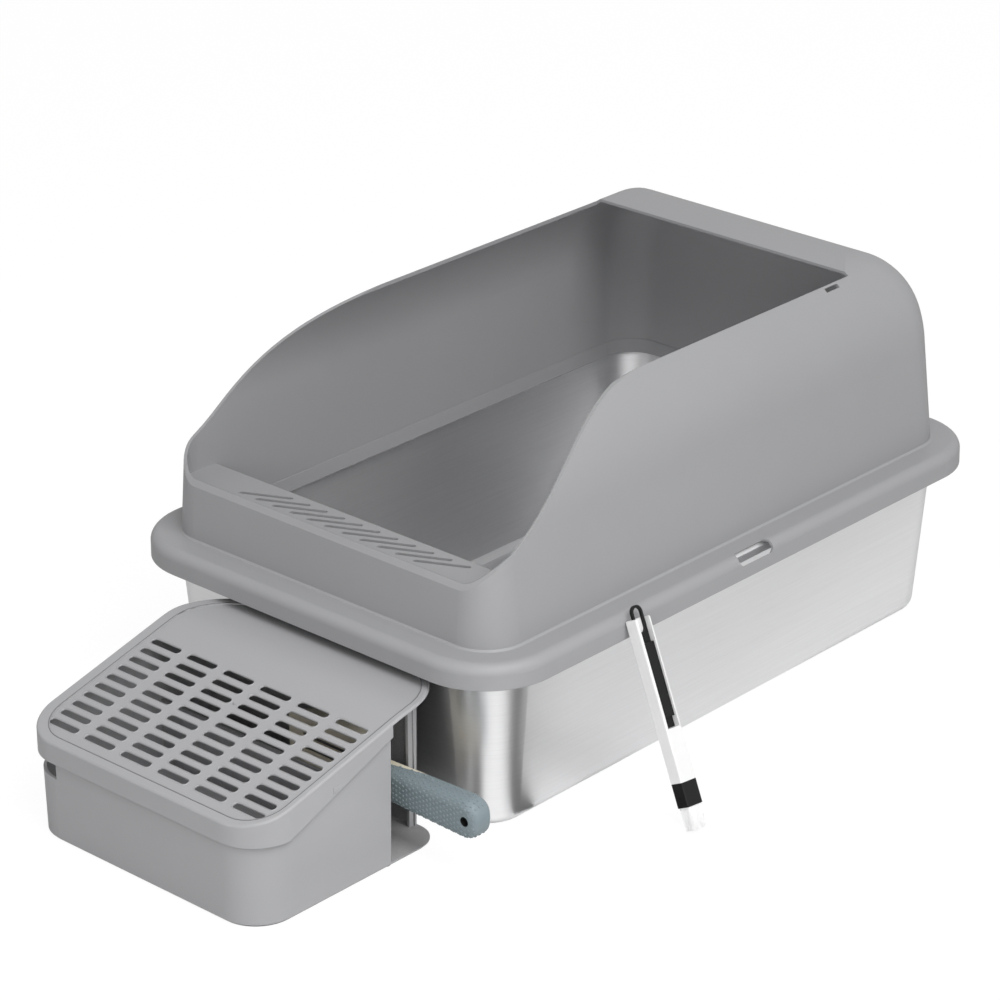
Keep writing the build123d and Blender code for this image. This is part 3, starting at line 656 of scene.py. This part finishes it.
@dataclass
class Scoop:
    """Cream scoop with a studded soft grip."""

    stud_pitch_mm: float = 3.9
    stud_radius_mm: float = 1.05
    stud_height_mm: float = 0.65
    stud_root_mm: float = 0.21
    stud_sides: int = 8
    stud_rings: int = 6
    margin_mm: float = 1.2
    axis_y_mm: float = -319.0
    axis_z_mm: float = 49.0
    wrap_deg: int = 105
    hole_x_mm: float = 195.0
    hole_room_mm: float = 5.4
    hole_radius_mm: float = 3.7
    hole_lip_mm: float = 0.5
    hole_depth_mm: float = 5.0
    hole_floor_mm: float = 4.0
    hole_sides: int = 24

    def dress(self) -> None:
        """Finish the blade and the grip, set the studs on the grip and set a dark cup of painted shade in its
        hang hole.
        """
        dress(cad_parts["scoop_blade"], CREAM_POLYPROPYLENE.build())
        rubber = SOFT_GRIP_RUBBER.build()
        dress(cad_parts["scoop_grip"], rubber)
        studs = join_copies(self.stud(), self.stud_places(), "grip_studs")
        dress(studs, rubber)
        # Painted shade: a near-black cup darkens the hang hole
        shadow_cup = self.hole_shadow_cup()
        dress(shadow_cup, HOLE_SHADOW_RUBBER.build())
        for piece in (studs, shadow_cup):
            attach(piece, Body.SCOOP.value)
            LOG.info("set %s on the scoop, with %d faces", piece.name, len(piece.data.polygons))

    def stud(self) -> bpy.types.Object:
        """Model one low rounded stud about the origin, its top along +Z.

        Returns:
            The stud.
        """
        deselect_all()
        bpy.ops.mesh.primitive_uv_sphere_add(segments=self.stud_sides, ring_count=self.stud_rings,
                                             radius=self.stud_radius_mm * MM)
        bpy.ops.object.mode_set(mode="EDIT")
        bpy.ops.mesh.select_all(action="SELECT")
        bpy.ops.mesh.bisect(plane_co=(0, 0, -self.stud_root_mm * MM), plane_no=(0, 0, 1), clear_inner=True,
                            use_fill=True)
        bpy.ops.mesh.select_all(action="SELECT")
        flat = self.stud_height_mm / self.stud_radius_mm
        bpy.ops.transform.resize(value=(1, 1, flat), center_override=(0, 0, 0))
        bpy.ops.object.mode_set(mode="OBJECT")
        bpy.ops.object.shade_smooth()
        return bpy.context.active_object

    def hole_shadow_cup(self) -> bpy.types.Object:
        """Model the dark cup of painted shade that sits in the hang hole, open to the front.

        Returns:
            The dark cup, flush with the grip's front face.
        """
        deselect_all()
        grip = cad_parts["scoop_grip"]
        beside = Vector(((self.hole_x_mm - self.hole_room_mm) * MM, -RAY_START_M, self.axis_z_mm * MM))
        _, spot, _, _ = grip.ray_cast(beside, Vector((0, 1, 0)))
        bpy.ops.mesh.primitive_circle_add(vertices=self.hole_sides, radius=self.hole_radius_mm * MM,
                                          fill_type="NGON")
        shadow_cup = bpy.context.active_object
        shadow_cup.name = "hang_hole_shadow_cup"
        bpy.ops.object.mode_set(mode="EDIT")
        bpy.ops.mesh.select_all(action="SELECT")
        bpy.ops.mesh.extrude_region_move(TRANSFORM_OT_translate={"value": (0, 0, self.hole_depth_mm * MM)})
        bpy.ops.mesh.inset(thickness=self.hole_lip_mm * MM)
        bpy.ops.transform.translate(value=(0, 0, -self.hole_floor_mm * MM))
        face_outwards()
        back = Vector((self.hole_x_mm * MM, spot.y + self.hole_depth_mm * MM, self.axis_z_mm * MM))
        shadow_cup.data.transform(Matrix.Translation(back) @ Matrix.Rotation(math.pi / 2, 4, "X"))
        return shadow_cup

    def stud_places(self) -> list[Matrix]:
        """Find where the studs stand: staggered rings round the grip, evenly spaced along its surface.

        Returns:
            One matrix for each stud, its Z axis along the surface normal.
        """
        low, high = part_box("scoop_grip")
        pitch = self.stud_pitch_mm * MM
        station = low.x + self.margin_mm * MM
        places = []
        shift = 0.0
        while station < high.x - self.margin_mm * MM:
            places += self.ring(station, shift * pitch)
            station += pitch * math.sqrt(3) / 2
            shift = 0.5 - shift
        return places

    def ring(self, station: float, start: float) -> list[Matrix]:
        """Walk round the grip at one station and set a stud at each full pitch, clear of the hang hole.

        Args:
            station: Distance along X in metres.
            start: Way along the surface before the first stud, in metres.

        Returns:
            One matrix for each stud of this ring.
        """
        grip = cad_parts["scoop_grip"]
        pitch = self.stud_pitch_mm * MM
        middle = Vector((station, self.axis_y_mm * MM, self.axis_z_mm * MM))
        hole = Vector((self.hole_x_mm, 0, self.axis_z_mm)) * MM
        places = []
        last = None
        way = pitch - start
        for turn in range(-self.wrap_deg, self.wrap_deg + 1):
            out = Vector((0, -math.cos(math.radians(turn)), math.sin(math.radians(turn))))
            hit, spot, normal, _ = grip.ray_cast(middle + RAY_START_M * out, -out)
            if not hit:
                continue
            way += (spot - last).length if last else 0.0
            last = spot
            if way < pitch:
                continue
            way -= pitch
            if math.hypot(spot.x - hole.x, spot.z - hole.z) > self.hole_room_mm * MM:
                places.append(Matrix.Translation(spot) @ normal.to_track_quat("Z", "Y").to_matrix().to_4x4())
        return places


@dataclass
class Brush:
    """Cleaning brush: white body, black collar and insert, and a tuft of nylon strands."""

    axis: Triple = (-0.448, 0.095, 0.889)
    face: Triple = (0.893, 0.0, 0.45)
    tip_mm: Triple = (273.2, -162.0, 2.7)
    strand_length_mm: float = 19.5
    strand_radius_mm: float = 0.3
    strand_sides: int = 6
    strand_taper: float = 0.6
    strand_crease_deg: float = 50.0
    tip_facing: float = -0.9
    tuft_thick_mm: float = 9.2
    tuft_width_mm: float = 13.4
    columns: int = 26
    rows: int = 17
    splay_deg: float = -1.5
    row_jitter: float = 0.015
    column_jitter: float = 0.01
    lean_jitter: float = 0.012
    shortest: float = 0.93
    seed: int = 7

    def dress(self) -> None:
        """Finish the hard pieces and make the tuft."""
        dress(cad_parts["brush_body"], WHITE_ABS.build())
        black = BLACK_ABS.build()
        dress(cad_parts["brush_ferrule"], black)
        dress(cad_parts["brush_insert"], black)
        tuft = join_copies(self.strand(), self.strand_places(), "bristle_tuft")
        dress(tuft, WHITE_NYLON.build())
        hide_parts("brush_bristles")
        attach(tuft, Body.BRUSH.value)
        LOG.info("made the tuft of %d strands", self.columns * self.rows)

    def strand(self) -> bpy.types.Object:
        """Model one tapered strand from the origin down along -Z.

        Returns:
            The strand.
        """
        deselect_all()
        length = self.strand_length_mm * MM
        bpy.ops.mesh.primitive_cylinder_add(vertices=self.strand_sides, radius=self.strand_radius_mm * MM,
                                            depth=length, location=(0, 0, -length / 2))
        bpy.ops.object.transform_apply(location=True, rotation=False, scale=False)
        strand = bpy.context.active_object
        bpy.ops.object.mode_set(mode="EDIT")
        bpy.ops.mesh.select_mode(type="FACE")
        bpy.ops.mesh.select_all(action="DESELECT")
        bpy.ops.object.mode_set(mode="OBJECT")
        for face in strand.data.polygons:
            face.select = face.normal.z < self.tip_facing
        bpy.ops.object.mode_set(mode="EDIT")
        taper = (self.strand_taper, self.strand_taper, 1)
        bpy.ops.transform.resize(value=taper, center_override=(0, 0, -length))
        bpy.ops.object.mode_set(mode="OBJECT")
        bpy.ops.object.shade_smooth_by_angle(angle=math.radians(self.strand_crease_deg))
        return strand

    def strand_places(self) -> list[Matrix]:
        """Spread the strands over the collar's mouth, each leaning a little of its own.

        Returns:
            One matrix for each strand.
        """
        draw = random.Random(self.seed)
        up = Vector(self.axis).normalized()
        out = Vector(self.face).normalized()
        side = up.cross(out)
        root = Vector(self.tip_mm) * MM + up * self.strand_length_mm * MM
        head = Matrix.Translation(root) @ Matrix((out, side, up)).transposed().to_4x4()
        tilt = math.radians(self.splay_deg)
        places = []
        for row in range(self.rows):
            for column in range(self.columns):
                across = row / (self.rows - 1) - 0.5
                across += draw.uniform(-self.row_jitter, self.row_jitter)
                along = column / (self.columns - 1) - 0.5
                along += draw.uniform(-self.column_jitter, self.column_jitter)
                lean = Matrix.Rotation(2 * across * tilt + draw.gauss(0, self.lean_jitter), 4, "Y")
                lean = lean @ Matrix.Rotation(-2 * along * tilt + draw.gauss(0, self.lean_jitter), 4, "X")
                spot = Vector((across * self.tuft_thick_mm, along * self.tuft_width_mm, 0)) * MM
                trim = Matrix.Diagonal((1, 1, draw.uniform(self.shortest, 1.0), 1))
                places.append(head @ Matrix.Translation(spot) @ lean.inverted() @ trim)
        return places


@dataclass(frozen=True)
class Card:
    """Studio card: its tone, the bearings of its sides from +X towards +Y, and how bright it looks."""

    tone: str
    start_deg: float
    end_deg: float
    level: float


@dataclass(frozen=True)
class Lamp:
    """Soft box: where it hangs in metres, its power in watts and its side in metres."""

    name: str
    place: Triple
    power: float
    size: float


@dataclass
class Studio:
    """White floor, soft boxes, cards for the steel's bands, and the camera at the photograph's angle."""

    camera_mm: Triple = (1843.2, -2081.9, 1383.8)
    azimuth_deg: float = 42.59
    elevation_deg: float = 24.23
    roll_deg: float = -0.37
    lens_mm: float = 138.2
    sensor_mm: float = 36.0
    view_depth_m: float = 100.0
    floor_size_m: float = 14.0
    floor_drop_mm: float = 0.2
    floor_colour: str = "#d8d8d8"
    floor_white: float = 0.88
    floor_glow: float = 1.07
    sky: float = 0.56
    white: float = 1.0
    lamp_aim: Triple = (0.0, -0.05, 0.12)
    lamps: tuple[Lamp, ...] = (Lamp("key_softbox", (1.75, -0.66, 2.6), 60.0, 1.8),
                               Lamp("front_softbox", (-0.3, -2.7, 0.9), 3.0, 1.6),
                               Lamp("step_softbox", (0.95, -1.0, 0.6), 3.6, 0.5))
    corner_mm: Triple = (132.0, -235.5, 0.5)
    card_near_mm: float = 36.0
    card_far_mm: float = 700.0
    cards: tuple[Card, ...] = (Card("white", -57.0, -14.0, 1.0), Card("black", -2.0, 32.0, 0.1),
                               Card("grey", -80.0, -60.0, 0.1), Card("far_white", 77.0, 85.0, 0.8))

    def build(self) -> None:
        """Set the floor, the lights, the cards and the camera."""
        bpy.context.scene.view_settings.view_transform = "Standard"
        self.make_floor()
        self.make_world()
        for lamp in self.lamps:
            self.make_lamp(lamp)
        for card in self.cards:
            self.make_card(card)
        self.make_camera()
        LOG.info("set the studio with %d soft boxes and %d cards", len(self.lamps), len(self.cards))

    def make_floor(self) -> None:
        """Pale floor that is white to the camera alone and still takes the soft shadow."""
        deselect_all()
        bpy.ops.mesh.primitive_plane_add(size=self.floor_size_m, location=(0, 0, -self.floor_drop_mm * MM))
        floor = bpy.context.active_object
        floor.name = "studio_floor"
        material, tree = new_material("studio_white_paint")
        matt = put_node(tree, "ShaderNodeBsdfDiffuse", {"Color": linear(self.floor_colour)})
        white = put_node(tree, "ShaderNodeEmission", {"Strength": self.floor_glow})
        eye = put_node(tree, "ShaderNodeLightPath").outputs["Is Camera Ray"]
        share = put_node(tree, "ShaderNodeMath", {0: eye, 1: self.floor_white}, operation="MULTIPLY")
        mixed = put_node(tree, "ShaderNodeMixShader",
                         {0: share.outputs[0], 1: matt.outputs[0], 2: white.outputs[0]})
        close_material(tree, mixed)
        dress(floor, material)

    def make_world(self) -> None:
        """White to the eye, in reflections and through clear parts, a soft grey to the object."""
        world = bpy.data.worlds.new("studio_world")
        bpy.context.scene.world = world
        world.use_nodes = True
        tree = world.node_tree
        tree.nodes.clear()
        path = put_node(tree, "ShaderNodeLightPath")
        seen = put_node(tree, "ShaderNodeMath",
                        {0: path.outputs["Is Camera Ray"], 1: path.outputs["Is Glossy Ray"]},
                        operation="MAXIMUM")
        white = put_node(tree, "ShaderNodeMath", {0: seen.outputs[0], 1: path.outputs["Is Transmission Ray"]},
                         operation="MAXIMUM")
        level = put_node(tree, "ShaderNodeMapRange",
                         {"Value": white.outputs[0], "To Min": self.sky, "To Max": self.white})
        sky = put_node(tree, "ShaderNodeBackground", {"Strength": level.outputs[0]})
        put_node(tree, "ShaderNodeOutputWorld", {"Surface": sky.outputs[0]})

    def make_lamp(self, lamp: Lamp) -> None:
        """Hang a soft box that faces the middle of the object.

        Args:
            lamp: Its name, place, power and size.
        """
        data = bpy.data.lights.new(lamp.name, "AREA")
        data.energy = lamp.power
        data.size = lamp.size
        box = bpy.data.objects.new(lamp.name, data)
        box.location = lamp.place
        box.rotation_mode = "QUATERNION"
        box.rotation_quaternion = (Vector(self.lamp_aim) - Vector(lamp.place)).to_track_quat("-Z", "Y")
        bpy.context.scene.collection.objects.link(box)

    def make_card(self, card: Card) -> None:
        """Lay a card on the floor that only reflections see, for a band in the steel.

        Args:
            card: Its tone and the bearings of its two sides from the pan's corner.
        """
        deselect_all()
        bpy.ops.mesh.primitive_plane_add(size=1.0)
        sheet = bpy.context.active_object
        sheet.name = f"studio_{card.tone}_card"
        bearings = [math.radians(d) for d in (card.start_deg, card.start_deg, card.end_deg, card.end_deg)]
        reaches = (self.card_near_mm, self.card_far_mm, self.card_far_mm, self.card_near_mm)
        spots = [Vector((r * math.cos(b), r * math.sin(b), 0)) for b, r in zip(bearings, reaches)]
        for index, spot in zip(sheet.data.polygons[0].vertices, spots):
            sheet.data.vertices[index].co = (Vector(self.corner_mm) + spot) * MM
        material, tree = new_material(sheet.name)
        close_material(tree, put_node(tree, "ShaderNodeEmission", {"Strength": card.level}))
        dress(sheet, material)
        sheet.visible_camera = False
        sheet.visible_diffuse = False
        sheet.visible_shadow = False
        sheet.visible_transmission = False

    def make_camera(self) -> None:
        """Put the camera where the photograph was taken from."""
        turn, lift, roll = (math.radians(d) for d in (self.azimuth_deg, self.elevation_deg, self.roll_deg))
        back = Vector((math.sin(turn) * math.cos(lift), -math.cos(turn) * math.cos(lift), math.sin(lift)))
        right = (-back).cross(Vector((0, 0, 1))).normalized()
        up = right.cross(-back)
        tilted_right = math.cos(roll) * right + math.sin(roll) * up
        tilted_up = -math.sin(roll) * right + math.cos(roll) * up
        data = bpy.data.cameras.new("photo_camera")
        data.lens = self.lens_mm
        data.sensor_width = self.sensor_mm
        data.clip_end = self.view_depth_m
        camera = bpy.data.objects.new("photo_camera", data)
        place = Matrix((tilted_right, tilted_up, back)).transposed().to_4x4()
        camera.matrix_world = Matrix.Translation(Vector(self.camera_mm) * MM) @ place
        bpy.context.scene.collection.objects.link(camera)
        bpy.context.scene.camera = camera


def main() -> None:
    """Dress every piece, add the new ones and set the studio."""
    logging.basicConfig(level=logging.INFO, format="%(name)s: %(message)s")
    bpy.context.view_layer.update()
    Housing().dress()
    StepTrim().build()
    Scoop().dress()
    Brush().dress()
    Studio().build()


if __name__ == "__main__":
    main()
